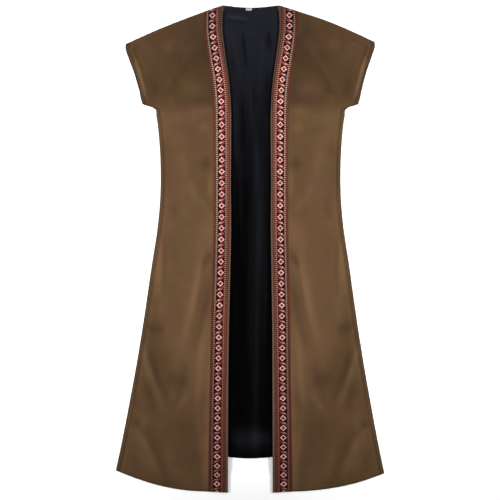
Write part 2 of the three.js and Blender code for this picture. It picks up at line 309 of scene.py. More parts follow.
class Shade:
    """One output in a material's node tree. Python's operators on it add Math nodes."""

    def __init__(self, tree, socket=None):
        self.tree = tree
        self.socket = socket

    def node(self, kind, settings=None, sockets=None, out=0):
        """Adds a shader node: first its settings, then each socket's value or link. Gives back the output
        of that number or name."""
        node = self.tree.nodes.new(f"ShaderNode{kind}")
        for name, value in (settings or {}).items():
            setattr(node, name, value)
        for name, value in (sockets or {}).items():
            if isinstance(value, Shade):
                self.tree.links.new(value.socket, node.inputs[name])
            else:
                node.inputs[name].default_value = value
        return Shade(self.tree, node.outputs[out])

    def maths(self, operation, *values):
        return self.node("Math", {"operation": operation}, dict(enumerate(values)))

    def __add__(self, other):
        return self.maths("ADD", self, other)

    def __sub__(self, other):
        return self.maths("SUBTRACT", self, other)

    def __rsub__(self, other):
        return self.maths("SUBTRACT", other, self)

    def __mul__(self, other):
        return self.maths("MULTIPLY", self, other)

    def __truediv__(self, other):
        return self.maths("DIVIDE", self, other)

    def __lt__(self, other):
        return self.maths("LESS_THAN", self, other)

    def __gt__(self, other):
        return self.maths("GREATER_THAN", self, other)

    def __abs__(self):
        return self.maths("ABSOLUTE", self)

    __radd__ = __add__
    __rmul__ = __mul__

    def floor(self):
        return self.maths("FLOOR", self)

    def cosine(self):
        return self.maths("COSINE", self)

    def noise(self, size, detail=2.0, roughness=0.5, offset=0.0):
        """Noise from 0 to 1 with grains of this many millimetres, at this vector."""
        moved = self.node("VectorMath", {"operation": "ADD"}, {0: self, 1: (offset, offset, offset)})
        settings = {"Scale": 1 / (size * METRES), "Detail": detail, "Roughness": roughness}
        return self.node("TexNoise", {}, {"Vector": moved, **settings})

    def bump(self, strength, depth):
        """A normal that this height bends."""
        return self.node("Bump", {}, {"Height": self, "Strength": strength, "Distance": depth})

    def between(self, low, high):
        """Where this value goes from low to high, as 0 to 1."""
        return self.node("MapRange", {}, {"Value": self, "From Min": low, "From Max": high})

    def mix(self, first, second, blend="MIX"):
        """The first colour where this value is 0 and the second where it is 1."""
        settings = {"data_type": "RGBA", "blend_type": blend}
        return self.node("Mix", settings, {0: self, 6: first, 7: second}, out=2)


def new_material(name, **constants):
    """A new material, whose shader has these values on its sockets, and a Shade to start from."""
    material = bpy.data.materials.new(name)
    material.use_nodes = True
    shader = material.node_tree.nodes["Principled BSDF"]
    for socket, value in constants.items():
        shader.inputs[socket.replace("_", " ")].default_value = value
    return material, shader, Shade(material.node_tree)


def plug(shader, **links):
    """Links these values to the shader's sockets."""
    for socket, value in links.items():
        value.tree.links.new(value.socket, shader.inputs[socket.replace("_", " ")])


def rgb(red, green, blue):
    """A colour on the screen's scale of 0 to 255, as the light that it stands for."""
    share = np.array([red, green, blue]) / 255
    light = np.where(share <= 0.04045, share / 12.92, ((share + 0.055) / 1.055) ** 2.4)
    return (*light.tolist(), 1)


# Suede cloth: short brushed nap in three close browns, which lies this way and that in soft patches. Where
# a piece's attribute light is above 0, painted light makes it lighter by that share, and below 0 painted
# shade makes it darker. The fronts' weave starts at the opening, beside which the nap is rubbed greyer. The
# back has no weave.
RUBBED_END = (6, 9)  # distances from the opening over which the rubbing ends
suede, suede_shader, start = new_material(
    "brown_suede",
    Specular_IOR_Level=0.3,
    Specular_Tint=rgb(205, 160, 120),
    Sheen_Weight=0.08,
    Sheen_Roughness=0.5,
    Sheen_Tint=rgb(190, 160, 130),
)
place = start.node("TexCoord", out="Object")
warm = place.noise(95, 1.5, offset=3.1).between(0.38, 0.62)
olive = place.noise(70, 2.0, offset=7.7).between(0.42, 0.66)
brushed = place.noise(26, 3.0, 0.6, offset=1.3)
grain = place.noise(1.5, 2.0, 0.6)
# painted light and shade, from the piece's attribute light
painted_lightness = 1 + start.node("Attribute", {"attribute_name": "light"}, out="Fac")
brown = (warm * 0.8).mix(rgb(81, 60, 40), rgb(82, 58, 42))
brown = (olive * 0.6).mix(brown, rgb(76, 60, 38))
weave = start.node("UVMap", {"uv_map": "weave"})
from_opening = start.node("SeparateXYZ", {}, {0: weave}, out="X") / METRES
rubbed = (from_opening > 0.05) * (1 - from_opening.between(*RUBBED_END)) * 0.9
brown = rubbed.mix(brown, rgb(82, 65, 54))
# the nap's own tone, times the painted light and shade
shade = (0.82 + brushed * 0.2 + grain * 0.16) * painted_lightness * painted_lightness
brown_with_painted_light = start.node("VectorMath", {"operation": "SCALE"}, {0: brown, "Scale": shade})
fuzz = grain + place.noise(0.6, 1.0) * 0.5
plug(suede_shader, Base_Color=brown_with_painted_light, Roughness=0.5 + brushed * 0.1, Normal=fuzz.bump(0.35, 0.0003))

BACK_STEP = 7.5  # between the points of its mesh
BACK_CREASE = 0.5  # how far the soft creases of its underside stand off the table
COARSE, FINE, FINE_SHARE = 60, 23, 0.6  # sizes of the creases, and the height of the fine ones
CREASE_RIM = 30  # width of the edge in which they fade
back_rows = rows_down(BACK_STEP)
side = cut("side", back_rows)
inner = spread(0.025, -1, 1)[None, :] * (side - 2)
back_x = np.hstack([RIM - side, inner, side - RIM[::-1]])
crease = unevenness(back_x, back_rows, COARSE, 11) + FINE_SHARE * unevenness(back_x, back_rows, FINE, 12)
crease /= 1 + FINE_SHARE
back_rim = np.minimum(np.minimum(back_rows, FRONT_LENGTH - back_rows), side - np.abs(back_x))
back_low = BACK_CREASE * np.maximum(crease, 0) * rise(back_rim, 0, CREASE_RIM)
back = wall(
    "back_of_vest", back_x, back_down(back_rows, back_x), back_low, BACK_CLOTH - back_low,
    back_rim, suede,
)
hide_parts("back_shell")


# --- Lining -------------------------------
# The back is lined with thin black satin, bagged out so that it reaches the neck edge and the hem. It is
# not pressed to the back, so soft folds run down it where the fronts leave it open.

LINING_CLOTH = 1.2
LINING_INSET = 13  # how far it stops short of the shoulder, sleeve and side edges
UNDERARM_INSET = 16  # and how far above the back's underarm its own lies
HEM_OVERHANG = 0.4  # it rolls over the back's hem by this much
NECK_TURN = 64  # from here out its top edge lies below the shoulder

# Soft folds from the first place past the second to the third, each (x, down), with the width and
# height of its crest. A trough's height is below 0.
FOLD = [("start", float, 2), ("by", float, 2), ("end", float, 2), ("width", float), ("height", float)]
LINING_FOLDS = np.array([
    ((12, 330), (9, 680), (5, 990), 13, 6),  # long fold down the back
    ((5, 900), (3, 1000), (2, 1085), 20, 4),
    ((-50, 50), (-26, 140), (-2, 240), 9, 4),  # fan below the neck
    ((26, 50), (22, 130), (8, 240), 9, 4),
    ((-10, 60), (2, 110), (2, 200), 7, 2.5),
    ((-36, 215), (-36, 320), (-26, 450), 9, 3.5),
    ((30, 560), (32, 760), (30, 960), 10, 2.5),
    ((-62, 28), (-36, 25), (-10, 30), 5, 1.4),  # ripple under the neck edge
    ((-50, 41), (-20, 39), (18, 41), 4, 0.9),
    ((-18, 380), (-20, 500), (-17, 640), 6, 1.6),
    ((-30, 620), (-27, 760), (-31, 900), 7, 1.8),
    ((22, 300), (25, 420), (19, 560), 6, 1.4),
    ((34, 130), (37, 230), (33, 330), 5, 1.6),
    ((-33, 900), (-30, 1000), (-34, 1070), 8, 1.8),
], FOLD)


def along_path(points, x, down):
    """For each place, the distance to a path of straight steps, the share of the path's points passed
    at the nearest spot, and the side of the path on which the place lies, as -1 or 1."""
    nearest = np.full(np.broadcast(x, down).shape, np.inf)
    share, hand = np.zeros_like(nearest), np.ones_like(nearest)
    for k, (a, b) in enumerate(zip(points, points[1:])):
        step = b - a
        t = np.clip(((x - a[0]) * step[0] + (down - a[1]) * step[1]) / (step @ step), 0, 1)
        off_x, off_down = x - a[0] - t * step[0], down - a[1] - t * step[1]
        distance = np.hypot(off_x, off_down)
        closer = distance < nearest
        nearest = np.where(closer, distance, nearest)
        share = np.where(closer, (k + t) / (len(points) - 1), share)
        hand = np.where(closer, np.sign(step[0] * off_down - step[1] * off_x), hand)
    return nearest, share, hand


PATH_POINTS = 17
WIDTH_VARIES = (0.28, 0.15)  # by these shares, from one side to the other and along the fold
HEIGHT_VARIES = (0.14, 0.08)  # in long and in short waves along it


def folds(table, x, down, seed):
    """The height that a table of folds gives each place: across its quadratic curve a fold is a bell
    that is narrower on one side, and along it height goes as sin(pi * share)^0.7, a little unevenly."""
    total = np.zeros(np.broadcast(x, down).shape)
    uneven = np.random.default_rng(seed).uniform(-1, 1, (len(table), 4))
    for fold, (lean, wave, turn, shift) in zip(table, uneven):
        t = np.linspace(0, 1, PATH_POINTS)[:, None]
        path = (1 - t) ** 2 * fold["start"] + 2 * t * (1 - t) * fold["by"] + t * t * fold["end"]
        distance, share, hand = along_path(path, x, down)
        width = fold["width"] * (1 + WIDTH_VARIES[0] * lean * hand)
        width *= 1 + WIDTH_VARIES[1] * np.sin(5 * share + 9 * shift)
        crest = 1 + HEIGHT_VARIES[0] * wave * np.sin(7 * share + 3 * turn)
        crest += HEIGHT_VARIES[1] * np.sin(17 * share + 5 * shift)
        total += fold["height"] * np.sin(np.pi * share) ** 0.7 * crest * bell(distance, width)
    return total


# Satin: black with a cold cast, painted darker still as painted shade inside the vest, and woven so fine
# that only its soft lustre shows. That lustre is painted sheen in its colour, in streaks of painted
# highlight and painted shade that run with the folds. The attribute light is what they add to the share of
# painted sheen far from any streak.
satin, satin_shader, start = new_material("black_satin", Specular_IOR_Level=0.02)
place = start.node("TexCoord", out="Object")
long_place = start.node("Mapping", {}, {"Vector": place, "Scale": (1, 0.15, 1)})
streak = long_place.noise(9, 3.0, 0.6)
slub = long_place.noise(1.1, 2.0)
PAINTED_SHEEN_BASE = 0.06
painted_sheen = PAINTED_SHEEN_BASE + start.node("Attribute", {"attribute_name": "light"}, out="Fac")
painted_sheen_share = (0.8 + streak * 0.4) * painted_sheen * painted_sheen
black_with_painted_sheen = start.node("VectorMath", {"operation": "SCALE"}, {0: rgb(25, 26, 31)[:3], "Scale": painted_sheen_share})
plug(satin_shader, Base_Color=black_with_painted_sheen, Roughness=0.5 + streak * 0.14, Normal=slub.bump(0.25, 0.0002))

PAINTED_SHEEN_STREAKS = np.array([  # laid as the folds are, with a height that is the painted sheen they add, painted shade where below 0
    ((-62, 28), (-36, 31), (-6, 35), 4, 0.34),
    ((-62, 37), (-34, 40), (-2, 44), 3.5, -0.16),  # neck
    ((-30, 52), (-6, 66), (4, 74), 6, 0.1),
    ((-20, 60), (-15, 105), (-10, 158), 4.5, -0.32),
    ((-48, 62), (-36, 120), (-24, 190), 5, 0.08),
    ((44, 62), (43, 84), (46, 112), 6, -0.34),
    ((-48, 90), (-47, 130), (-44, 170), 5, -0.12),
    ((28, 70), (20, 140), (22, 220), 5, 0.08),
    ((44, 150), (38, 216), (42, 300), 9, -0.2),
    ((-3, 180), (-1, 240), (3, 310), 3.5, 0.1),
    ((7, 190), (8, 232), (5, 276), 3, -0.12),
    ((-22, 205), (-20, 300), (-21, 370), 6, -0.22),
    ((-35, 215), (-36, 310), (-28, 430), 6, 0.2),
    ((13, 320), (18, 400), (8, 490), 6, 0.16),
    ((6, 240), (12, 330), (14, 460), 9, 0.14),
    ((-13, 420), (-14, 480), (-11, 545), 8, -0.12),
    ((-27, 340), (-24, 420), (-22, 560), 6, 0.16),
    ((22, 330), (14, 640), (8, 1300), 14, 0.42),  # broad streak down the middle
    ((34, 470), (36, 700), (30, 1040), 8, 0.1),
    ((-28, 300), (-28, 600), (-24, 900), 14, -0.14),
    ((2, 690), (2, 800), (3, 880), 4, 0.06),
    ((-60, 1074), (8, 1046), (70, 1074), 30, 0.74),
], FOLD)

LINING_STEP, OPENING_STEP = 4, 2.2
FOLDS_END = (-8, 4)  # the folds fade between these distances from the edge of the opening
RIPPLES = [(0.35, 2.4, 0.5, 22, 21), (0.15, 2, 0.6, 9, 22)]  # height, scale of x and of down, size, seed
PAINTED_NECK_GLEAM = [(0.32, 420), (0.62, 900)]  # what the painted sheen gains at the neck, and where the gain ends
lining_rows = rows_down(LINING_STEP)
side = cut("side", lining_rows)
underarm = np.minimum(side, cut("side", np.minimum(lining_rows + UNDERARM_INSET, FRONT_LENGTH)))
lining_end = np.where(lining_rows < WAIST, underarm, side) - LINING_INSET
outwards = spread(0.06, 0, 1)[None, 1:]
half = NECK_TURN + outwards * (lining_end - 2 - NECK_TURN)
half = np.hstack([half, lining_end - RIM[::-1]])
opening = spread(OPENING_STEP, -NECK_TURN, -NECK_TURN + 4, NECK_TURN - 4, NECK_TURN)[None, :]
lining_x = np.hstack([-half[:, ::-1], np.repeat(opening, len(lining_rows), axis=0), half])
hem_share = lining_rows / FRONT_LENGTH
top_inset = np.where(np.abs(lining_x) < NECK_TURN - 1, GAP, LINING_INSET)
lining_down = back_down(lining_rows, lining_x) + top_inset * (1 - hem_share) + HEM_OVERHANG * hem_share
edge = cut("edge", lining_rows)
in_opening = 1 - rise(np.abs(lining_x), edge + FOLDS_END[0], edge + FOLDS_END[1])
ripple = sum(
    height * (unevenness(lining_x * x_scale, lining_down * down_scale, size, seed) + 1)
    for height, x_scale, down_scale, size, seed in RIPPLES
)
lining_low = BACK_CLOTH + GAP + in_opening * (folds(LINING_FOLDS, lining_x, lining_down, 23) + ripple)
lining_rim = np.minimum(np.minimum(lining_rows, FRONT_LENGTH - lining_rows), lining_end - np.abs(lining_x))
# painted sheen and painted shade on the lining
lining_light = sum(gain * rise(lining_down, end, 0) for gain, end in PAINTED_NECK_GLEAM)
lining_light += folds(PAINTED_SHEEN_STREAKS, lining_x, lining_down, 24)
lining = wall(
    "lining_of_back", lining_x, lining_down, lining_low, LINING_CLOTH, lining_rim, satin,
    light=lining_light,
)
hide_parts("back_lining")


# --- Neck label ---------------------------
# A short blank tape of white satin weave, with its ends folded under, is sewn to the lining just below
# the middle of the back neck edge.

LABEL = {"width": 15, "height": 5.6, "thickness": 1, "x": -5.2, "down": 10.8}
LABEL_BOW = 0.5  # its middle stands this far above its sewn sides
LABEL_LIFT = 1.0  # its sides, with their turned ends below them, lie this far off the lining
LABEL_WAVER = (0.15, 0.25, 0.2)  # how its sides and its ends waver, and by what share its bow does

tape, tape_shader, start = new_material("white_tape", Roughness=0.6, Specular_IOR_Level=0.2)
place = start.node("TexCoord", out="Object")
picks = start.node("TexWave", {}, {"Vector": place, "Scale": 500.0, "Distortion": 0.6})
greyed = place.noise(3, 2.0).between(0.2, 0.9).mix(rgb(150, 149, 150), rgb(172, 171, 172))
plug(tape_shader, Base_Color=greyed, Normal=picks.bump(0.3, 0.0002))

u = np.concatenate([[0, 0.006, 0.02, 0.05], spread(0.06, 0.1, 0.9), [0.95, 0.98, 0.994, 1]])
across, along = np.meshgrid(u - 0.5, u - 0.5)
label_x = LABEL["x"] + across * LABEL["width"] + LABEL_WAVER[0] * np.sin(9 * along)
label_down = LABEL["down"] + along * LABEL["height"] + LABEL_WAVER[1] * np.cos(7 * across)
label_bow = LABEL_BOW * (np.cos(np.pi * across) + LABEL_WAVER[2] * np.sin(8 * along))
label_low = BACK_CLOTH + LINING_CLOTH + 2 * GAP + LABEL_LIFT + np.maximum(label_bow, 0)
label_rim = np.minimum((0.5 - np.abs(across)) * LABEL["width"], (0.5 - np.abs(along)) * LABEL["height"])
label = wall(
    "label_at_neck", label_x, label_down, label_low, LABEL["thickness"], label_rim, tape,
)
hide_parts("neck_label")


# --- Fronts -------------------------------
# Each front is brown suede cloth, cut in one with its cap sleeve and joined to the back at the shoulder
# and down the side. The sleeve's hem and the front's hem are turned under, and the cloth lies in soft,
# uneven folds.

FRONT_CLOTH = 2
SEAM_ROLL = 8  # width over which it rolls down to the back at the shoulder, sleeve and side
EDGE_LIFT = (3, 24)  # height and width by which its opening edge stands off the lining
HEM_FALL = (20, 30)  # past the back hem it comes down to the table, from the first over the second
SLEEVE_HEM = 16  # width of the sleeve's turned hem
SLEEVE_CORNER = 232
SLEEVE_END = (-12, 8)  # the sleeve's forms end between these distances from its corner
SLEEVE_SIDE = (235, 262)  # and its hem sets in outwards between these
FRONT_HEM = 20
PUFF = (0.9, 0.7, 74, 0.45, 31)  # its mean height, then height and size of its two unevennesses
PUFF_START, HEM_START = (44, 80), (48, 60)  # distances from the opening where puff and hem set in

# Low ridges along a turned seam or hem: height, distance from the edge and width
SEAM_RIDGES = [(0.5, 4.5, 2.2), (-0.35, 11, 4)]
SLEEVE_RIDGES = [(1.3, SLEEVE_HEM, 3.5), (-0.5, SLEEVE_HEM + 8, 4)]
HEM_RIDGES = [(0.5, FRONT_HEM, 3)]

FRONT_FOLDS = np.array([
    ((104, 590), (123, 690), (158, 850), 18, 7),  # hip, from the ribbon
    ((101, 700), (106, 860), (124, 1030), 15, 7),  # beside the ribbon
    ((122, 1000), (112, 1090), (110, 1180), 9, 3.5),
    ((254, 825), (246, 900), (194, 1005), 13, 5),  # skirt, upper diagonal
    ((272, 1030), (244, 1080), (204, 1182), 16, 6),  # skirt, lower diagonal
    ((286, 940), (288, 990), (296, 1060), 12, 3),  # skirt side
    ((217, 560), (213, 640), (220, 720), 9, 2.5),  # hip side
    ((222, 262), (160, 270), (96, 276), 9, 3),  # across the chest
    ((160, 300), (165, 400), (130, 520), 34, 3.5),  # swell of the chest
    ((281, 135), (268, 180), (253, 228), 8, 3),  # inside the sleeve hem
    ((88, 60), (150, 120), (230, 250), 16, 2.5),  # neck to underarm
], FOLD)
FRONT_CREASES = np.array([
    ((97, 612), (108, 622), (116, 634), 5, -1.6),  # short, beside the ribbon
    ((253, 786), (240, 787), (225, 786), 5, -1.5),  # short, at the hip side
    ((292, 1018), (276, 1026), (258, 1044), 6, -1.8),  # near the skirt's side
    ((288, 1032), (272, 1040), (256, 1056), 6, 1.4),
    ((170, 880), (176, 950), (196, 1010), 13, 2.2),  # arms of a wide V in the skirt
    ((140, 1110), (158, 1070), (188, 1030), 12, 1.6),
    ((230, 1100), (214, 1130), (206, 1168), 10, 1.6),
], FOLD)

PAINTED_LIGHT_STROKES = np.array([  # laid as the folds are, their height the share by which painted light makes the cloth lighter, or painted shade darker where below 0
    ((283, 128), (269, 166), (252, 234), 7.5, 0.37),  # inside the sleeve hem
    ((268, 84), (262, 100), (246, 124), 14, 0.07),
    ((222, 108), (206, 90), (184, 96), 14, 0.07),  # shoulder
    ((256, 134), (240, 116), (224, 106), 14, 0.05),
    ((218, 84), (202, 100), (196, 116), 12, 0.06),
    ((112, 84), (160, 140), (222, 236), 11, -0.05),
    ((112, 60), (108, 120), (124, 170), 22, -0.07),
    ((172, 110), (172, 130), (176, 160), 16, -0.07),
    ((157, 60), (138, 68), (122, 56), 24, -0.07),
    ((186, 206), (150, 208), (104, 204), 26, 0.11),
    ((200, 214), (196, 230), (190, 254), 12, 0.1),
    ((170, 196), (140, 206), (110, 214), 14, 0.05),
    ((150, 266), (120, 258), (90, 254), 13, 0.12),
    ((250, 160), (240, 204), (224, 228), 16, -0.08),
    ((216, 284), (160, 266), (102, 262), 15, 0.04),  # chest
    ((124, 286), (110, 299), (100, 306), 10, 0.11),
    ((172, 300), (152, 312), (132, 300), 14, -0.05),
    ((216, 330), (196, 350), (180, 368), 20, -0.07),
    ((208, 330), (206, 410), (206, 484), 28, -0.1),
    ((190, 480), (188, 500), (184, 524), 9, -0.05),
    ((172, 355), (160, 392), (162, 430), 9, 0.07),
    ((110, 366), (106, 388), (114, 410), 12, -0.16),
    ((98, 400), (100, 441), (100, 484), 8, 0.16),
    ((156, 424), (140, 448), (132, 480), 10, 0.08),
    ((128, 468), (114, 490), (104, 508), 9, 0.11),
    ((180, 466), (182, 494), (192, 532), 12, -0.06),
    ((200, 540), (190, 590), (180, 664), 20, -0.06),
    ((108, 530), (134, 640), (152, 830), 28, 0.03),  # hip
    ((106, 500), (120, 560), (126, 620), 14, 0.1),
    ((150, 440), (138, 470), (132, 492), 9, 0.05),
    ((96, 500), (98, 560), (108, 606), 12, 0.1),
    ((122, 646), (108, 620), (96, 604), 7, -0.14),
    ((120, 676), (108, 646), (96, 630), 6, 0.09),
    ((96, 664), (112, 760), (136, 850), 9, -0.14),
    ((95, 750), (96, 860), (102, 1040), 14, 0.2),
    ((196, 650), (192, 740), (188, 830), 22, -0.07),
    ((242, 670), (234, 730), (240, 840), 16, -0.12),  # side
    ((250, 796), (230, 788), (208, 796), 15, -0.16),
    ((256, 836), (240, 890), (220, 940), 10, -0.06),  # skirt
    ((246, 750), (224, 850), (184, 960), 36, -0.1),
    ((196, 1014), (176, 1000), (148, 932), 12, 0.07),
    ((200, 900), (176, 924), (154, 918), 17, -0.13),
    ((160, 860), (156, 900), (160, 940), 11, -0.08),
    ((252, 906), (248, 948), (230, 1004), 16, -0.15),
    ((294, 980), (264, 1012), (250, 1030), 9, 0.07),
    ((286, 1020), (272, 1026), (258, 1034), 5, -0.1),
    ((298, 1030), (254, 1056), (230, 1164), 17, 0.04),
    ((298, 1078), (282, 1120), (254, 1152), 19, -0.04),
    ((208, 1030), (184, 1046), (136, 1030), 26, -0.05),
    ((190, 1130), (166, 1160), (112, 1190), 26, 0.1),
    ((204, 1064), (200, 1120), (190, 1160), 15, 0.1),
    ((280, 1090), (262, 1120), (250, 1150), 14, 0.08),
    ((140, 940), (160, 972), (188, 998), 9, 0.08),
    ((106, 980), (104, 1054), (106, 1190), 13, 0.22),
    ((106, 1040), (106, 1120), (108, 1260), 11, 0.16),
], FOLD)


def front_down(down, x):
    """Where a front's section that starts at down lies at x: on the straight line from edge to side,
    plus sag * sin(pi * u^SAG_PLACE) at the share u of the way."""
    edge, side = cut("edge", down), cut("side", down)
    u = np.clip((x - edge) / (side - edge), 0, 1)
    return down + (cut("side_down", down) - down) * u + cut("sag", down) * np.sin(np.pi * u**SAG_PLACE)


# The outline runs along the shoulder from the neck, then down sleeve and side.
shoulder_x = CUT["edge"][0] + spread(0.03, 0, 1) * (CUT["side"][0] - CUT["edge"][0])
side_rows = spread(6, 0, 230, 260, 300, FRONT_LENGTH)[1:]
outline_x = np.concatenate([shoulder_x, cut("side", side_rows)])
OUTLINE = np.stack([outline_x, np.concatenate([front_down(0, shoulder_x), cut("side_down", side_rows)])], -1)


def ridges(table, distance):
    """The height that a table of ridges gives at this distance: the sum of their bells."""
    return sum(height * bell(distance - place, width) for height, place, width in table)


def on_sleeve(place):
    """1 down to the sleeve's corner and 0 below it, with a soft step between."""
    return 1 - rise(place, SLEEVE_CORNER + SLEEVE_END[0], SLEEVE_CORNER + SLEEVE_END[1])


def front_low(down, x, hand):
    """Height of a front's underside at x on the section that starts at down. It is what lies below, and
    on it the lift of the edge, the folds and creases, and a slight puff, all flattened to nothing over
    the roll at the outline, where the turned seam makes a low crest."""
    place = front_down(down, x)
    rim, _, _ = along_path(OUTLINE, x, place)
    flat = rise(rim, 0, SEAM_ROLL)
    hem_of_back = back_down(np.full_like(place, FRONT_LENGTH), x)
    backed = 1 - rise(place - hem_of_back - HEM_FALL[0], 0, HEM_FALL[1])
    from_edge = x - cut("edge", down)
    lift = EDGE_LIFT[0] * bell(from_edge, EDGE_LIFT[1])
    mean, coarse, coarse_size, fine, fine_size = PUFF
    seed = 30 if hand > 0 else 40
    puff = mean + coarse * unevenness(x, place, coarse_size, seed)
    puff += fine * unevenness(x, place, fine_size, seed + 1)
    form = folds(FRONT_FOLDS, x, place, 50) + folds(FRONT_CREASES, x, place, 51)
    form = np.maximum(form + np.maximum(puff, 0) * rise(from_edge, *PUFF_START), 0)
    sleeve_side = on_sleeve(place) * rise(x, *SLEEVE_SIDE)
    hem = ridges(HEM_RIDGES, FRONT_LENGTH - down) * rise(from_edge, *HEM_START)
    under = backed * (BACK_CLOTH + GAP)
    seams = (1 - sleeve_side) * ridges(SEAM_RIDGES, rim) + sleeve_side * ridges(SLEEVE_RIDGES, rim)
    loft = backed * (LINING_CLOTH + GAP) + lift + form + hem + seams
    return under + flat * np.maximum(loft, 0)


SHOULDER_SHADE = (0.26, 280, 226)  # share by which painted shade makes it darker, and where this starts and is full
SKIRT_SHADE = (0.15, 900, 1080)  # the same at SLOPE_FOOT, and higher up towards the side by the slope
SLOPE, SLOPE_FOOT = 1.3, 110
HEM_SHADE = (0.12, 8, 1)  # the same by the distance from the hem
SIDE_SHADES = [(0.24, 0.08, 15, 5), (0.14, 0.12, 7, 2)]  # and from the side, with more on the sleeve
HIP_SHADE = (0.16, 690, 170, 8, 3)  # share, middle and reach down, and the same from the side
EDGE_GLEAM = (0.1, 1, 2.5)  # a painted highlight makes the opening's edge lighter, in a ridge of this kind


def front_painted_light(down, x):
    """How much lighter than plain brown the cloth is painted at x on the section that starts at down, as a
    share: the strokes of painted light and shade, over painted shade on the shoulder, on a skirt that
    darkens from its side to the ribbon and in a rim along sleeve, side and hem, and a painted highlight by
    the opening."""
    place = front_down(down, x)
    light = folds(PAINTED_LIGHT_STROKES, x, place, 52) + ridges([EDGE_GLEAM], x - cut("edge", down))
    sloping, from_hem = place + SLOPE * (x - SLOPE_FOOT), FRONT_LENGTH - down
    shades = ((SHOULDER_SHADE, place), (SKIRT_SHADE, sloping), (HEM_SHADE, from_hem))
    for (share, start, end), distance in shades:
        light -= share * rise(distance, start, end)
    from_side = cut("side", down) - x
    for share, more_on_sleeve, start, end in SIDE_SHADES:
        light -= (share + more_on_sleeve * on_sleeve(place)) * rise(from_side, start, end)
    share, middle, reach, start, end = HIP_SHADE
    return light - share * bell(place - middle, reach) * rise(from_side, start, end)


FRONT_STEP = 3.5
NEAR_EDGE = np.concatenate([RIM, [2, 3.5, 5.5, 8, 11], spread(4.2, 14, 50)])
NEAR_SIDE = np.concatenate([RIM, [2, 3.2, 4.6, 6.2, 8, 10, 12.5, 15, 17.5, 20.5, 24]])
NEAR_NECK = [*RIM, 2, 3.2, 4.6, 6.2, 8]
NEAR_HEM = FRONT_LENGTH - np.array([22, 20, 18, 15, 11, 7, 4, 2, *RIM[::-1]])
FRONT_COLUMNS = 46
front_rows = np.concatenate([NEAR_NECK, spread(FRONT_STEP, 10, FRONT_LENGTH - 24), NEAR_HEM])[:, None]
edge, side = cut("edge", front_rows), cut("side", front_rows)
between = np.linspace(0, 1, FRONT_COLUMNS)[None, 1:-1]
front_x = edge + NEAR_EDGE[-1] + between * (side - edge - NEAR_EDGE[-1] - NEAR_SIDE[-1])
front_x = np.hstack([edge + NEAR_EDGE, front_x, side - NEAR_SIDE[::-1]])
from_ends = np.minimum(front_rows, FRONT_LENGTH - front_rows)
front_rim = np.minimum(np.minimum(front_x - edge, side - front_x), from_ends)

for name, hand in (("left", 1), ("right", -1)):
    front = wall(
        f"{name}_front", hand * front_x, front_down(front_rows, front_x),
        front_low(front_rows, front_x, hand), FRONT_CLOTH, front_rim, suede,
        weave=[front_x - edge, np.broadcast_to(front_rows, front_x.shape)],
        light=front_painted_light(front_rows, front_x),
    )
    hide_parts(f"front_{name}")


# --- Ribbons ------------------------------
# A woven ribbon is sewn down each front by both its selvedges. Its black middle carries a row of white
# diamonds with red hearts and small dots between them, and dotted tan lines part it from maroon borders.

RIBBON_CLOTH = 1.2
WIDTH, REPEAT = 37, 26.5  # of the pattern, before it is eased onto the cloth
THREAD = 0.75  # one pick or end of the weave
BLACK_BAND = (8.8, 27.7)  # between these distances from the outer selvedge
TAN_LINES = ((5.4, 8.8), (27.7, 30.6))
MIDDLE = 18.7  # of the row of diamonds, likewise
DIAMOND = (7.5, 7.3)  # half its width and half its length
WHITE = (0.68, 1.02)  # it is white between these shares of that size
CORE = 0.25  # and its red heart is darker within this one
TICK = REPEAT / 5.5  # from one light tick of the borders to the next
BEAD = (0.3, 0.8)  # shares of that length between which the tick lies
FIRST = 1.538  # the count of repeats at the neck point

# The small shapes of the black, midway between two diamonds: how far across and along the middle of each
# lies, half its width and half its length, its slant and the colour of its thread.
RHOMBS = [
    (2.5, 0, 7.5, 8.0, 0, (80, 13, 12)),  # reddish ground
    (0.4, 0, 7.0, 3.2, 0.22, (142, 78, 75)),  # lozenge
    (-3.6, 0, 4.0, 2.6, 0.22, (180, 138, 128)),  # its light end
    (-7.8, 5.4, 1.6, 1.6, 0, (128, 110, 96)),  # dots by its corners
    (7.2, -5.6, 1.6, 1.6, 0, (118, 94, 78)),
]

trim, trim_shader, start = new_material("woven_ribbon_tape", Roughness=0.62, Specular_IOR_Level=0.06)
weave = start.node("UVMap", {"uv_map": "weave"})
across = start.node("SeparateXYZ", {}, {0: weave}, out="X") / METRES
along = start.node("SeparateXYZ", {}, {0: weave}, out="Y") / METRES


def woven(value):
    """The middle of the thread on which this value lies."""
    return (value / THREAD).floor() * THREAD + THREAD / 2


end, pick = woven(across), woven(along)
turns = pick / REPEAT
from_diamond = (turns - turns.floor() - 0.5) * REPEAT
from_midway = (turns - (turns + 0.5).floor()) * REPEAT
off = end - MIDDLE
norm = abs(off) / DIAMOND[0] + abs(from_diamond) / DIAMOND[1]
in_band = (end > BLACK_BAND[0]) * (end < BLACK_BAND[1])
in_tan = sum((end > low) * (end < high) for low, high in TAN_LINES)
ticks = along / TICK
beat = ticks - ticks.floor()
bead = (beat > BEAD[0]) * (beat < BEAD[1])
slub = weave.noise(2.2, 2.0)
fade = weave.noise(30, 2.0)

inner_border = across > MIDDLE
outer_maroon = bead.mix(rgb(56, 17, 14), rgb(98, 48, 38))
inner_maroon = bead.mix(rgb(68, 22, 17), rgb(118, 70, 58))
maroon = inner_border.mix(outer_maroon, inner_maroon)
maroon = (fade.between(0.4, 0.7) * 0.3).mix(maroon, rgb(98, 58, 44))
tan = bead.mix(rgb(70, 44, 36), inner_border.mix(rgb(152, 126, 108), rgb(156, 116, 98)))
